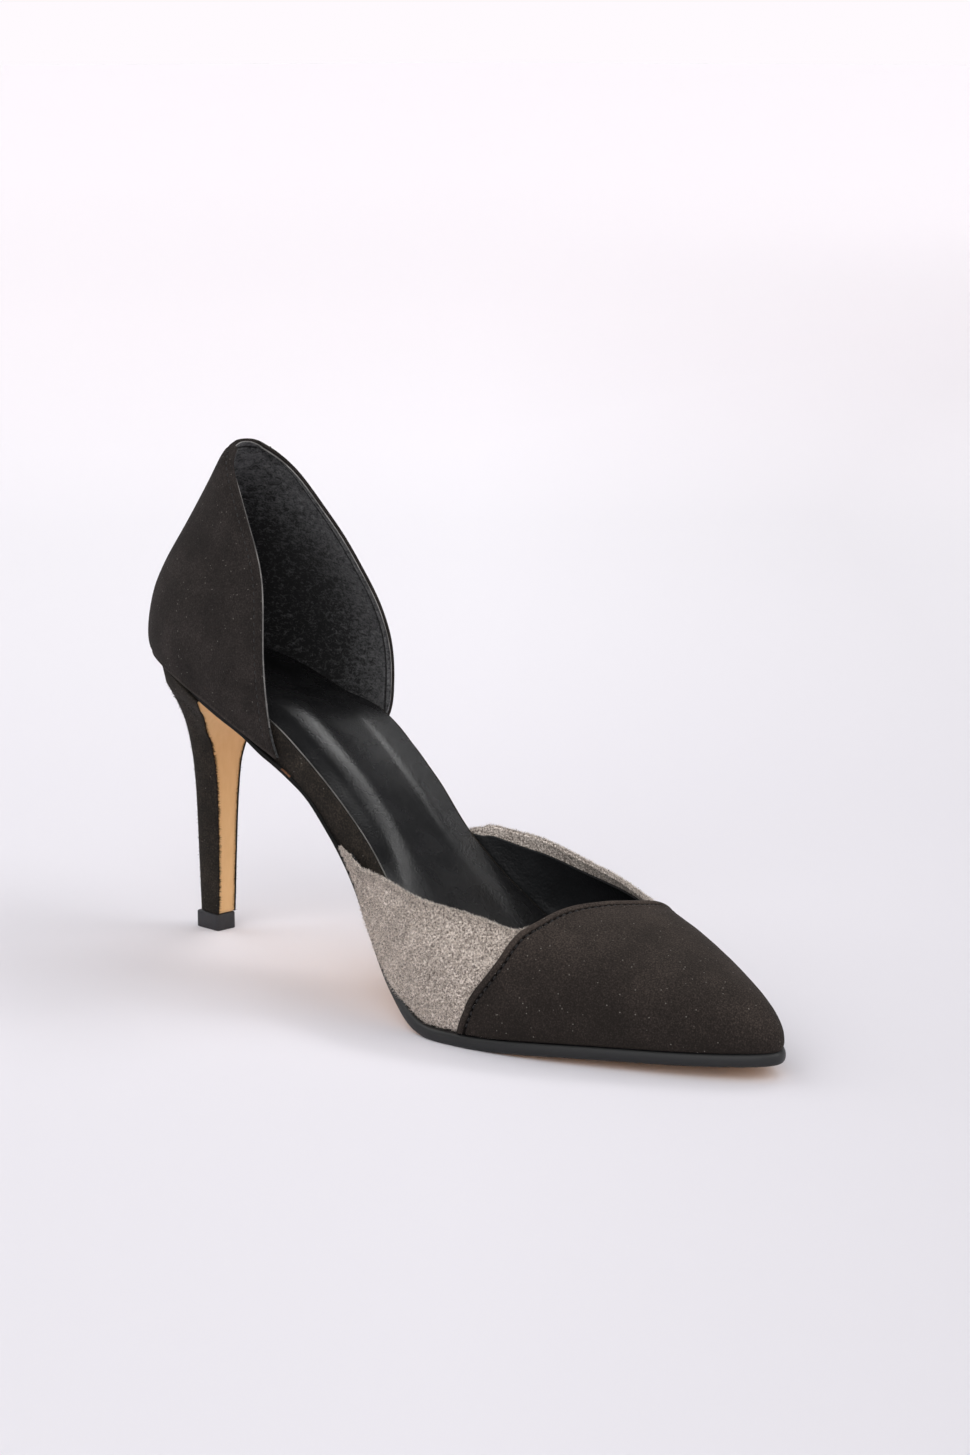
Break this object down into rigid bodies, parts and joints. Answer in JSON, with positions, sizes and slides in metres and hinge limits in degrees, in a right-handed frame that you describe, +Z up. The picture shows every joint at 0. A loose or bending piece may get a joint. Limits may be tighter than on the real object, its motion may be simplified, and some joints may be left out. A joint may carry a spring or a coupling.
{
  "type": "stiletto heel pump",
  "caption": "Left pointed pump with a slim high heel: hollow suede heel cup, low grey side panels, plain dark toe cap, padded sock, thin shaped sole and a tan heel breast.",
  "frame": {"origin": "middle of the shoe's outline box, on the floor plane", "axes": "+X to the toe, +Z up, +Y to the outer side of the left foot"},
  "size_m": [0.2346, 0.0764, 0.1462],
  "materials": {
    "vamp": "rough grey suede",
    "toe_cap": "brown black suede",
    "quarter": "black suede",
    "insole_board": "black suede wrap",
    "sock": "black grained leather",
    "outsole": "satin black edge, tan underside",
    "heel_block": "black suede wrap",
    "breast_cover": "plain tan",
    "top_piece": "satin black"
  },
  "bodies": {
    "root": {"vamp": "vamp", "toe_cap": "toe_cap", "quarter": "quarter", "insole_board": "insole_board", "sock": "sock", "outsole": "outsole", "heel_block": "heel_block", "breast_cover": "breast_cover", "top_piece": "top_piece"}
  },
  "joints": []
}
